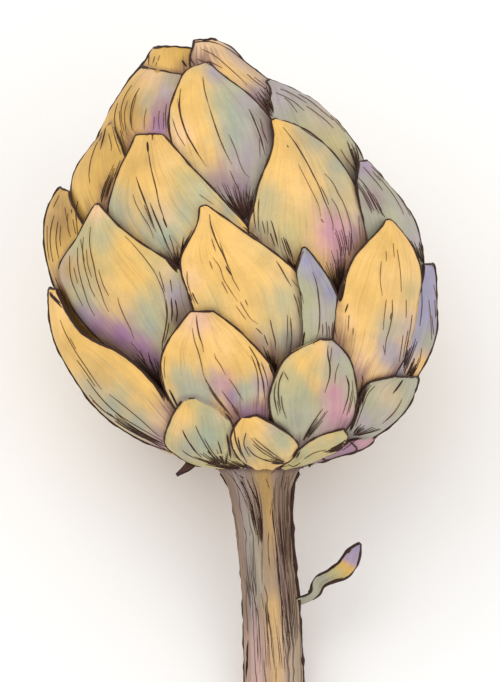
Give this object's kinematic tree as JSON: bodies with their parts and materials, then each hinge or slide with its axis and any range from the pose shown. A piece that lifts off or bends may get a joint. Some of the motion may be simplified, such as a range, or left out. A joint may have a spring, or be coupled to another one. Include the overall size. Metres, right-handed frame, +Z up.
{
  "type": "artichoke",
  "caption": "Globe artichoke with broad overlapping bracts round a closed head, cut with a length of its stem and a small curled leaf, lying on its side.",
  "frame": {"origin": "centre of the footprint, on the surface that the artichoke lies on", "axes": "+Z up, +Y from the cut end of the stem towards the crown, +X to the right seen from the stem's end"},
  "size_m": [0.0978, 0.1582, 0.0986],
  "materials": {
    "bract_skin": "satin plant skin, ochre to sage green with lilac at the bases",
    "stem_skin": "dull ribbed plant skin, grey-lilac with ochre stripes"
  },
  "bodies": {
    "root": {"head": "bract_skin", "stem": "stem_skin"}
  },
  "joints": []
}
